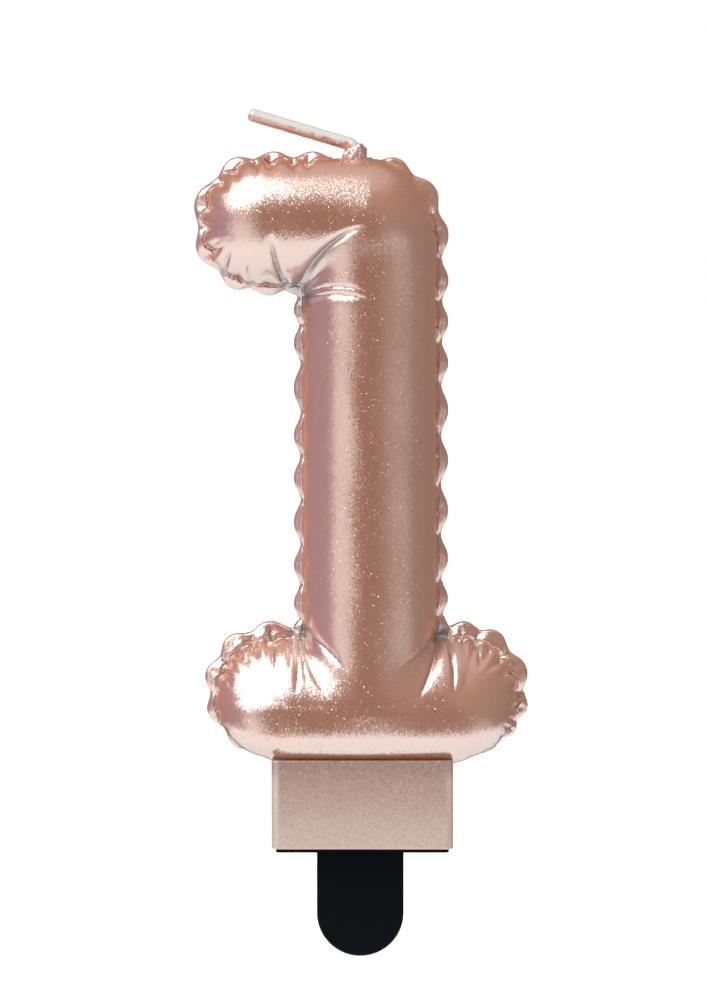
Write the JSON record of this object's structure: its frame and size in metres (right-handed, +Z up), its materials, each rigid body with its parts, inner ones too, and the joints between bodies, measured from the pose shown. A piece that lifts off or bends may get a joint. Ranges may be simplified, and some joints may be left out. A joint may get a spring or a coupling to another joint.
{
  "type": "number birthday candle",
  "caption": "Birthday candle in the shape of the number one, cast like an inflated foil balloon, on a small block with a flat pick that pushes into a cake.",
  "frame": {"origin": "middle of the candle's underside, on the lower face of the pick's plate, where the candle rests on the icing", "axes": "+X to the right seen from the front, -Y towards the front, +Z up along the candle"},
  "size_m": [0.0389, 0.0146, 0.0975],
  "materials": {
    "metallic_lacquered_wax": "satin",
    "matte_lacquered_wax": "matte",
    "dark_plastic": "satin",
    "wick_cotton": "matte",
    "wick_wax": "satin"
  },
  "bodies": {
    "candle": {"digit_body": "metallic_lacquered_wax", "plinth": "matte_lacquered_wax", "cake_pick": "dark_plastic", "wick_core": "wick_cotton"},
    "wick_end": {"wick_tip": "wick_cotton", "wick_sleeve": "wick_wax"}
  },
  "joints": [
    {"name": "wick_bend", "type": "hinge", "parent": "candle", "child": "wick_end", "pos_m": [-0.00095, 0, 0.0808], "axis": [0, 1, 0], "range_deg": [-12, 73.5]}
  ]
}
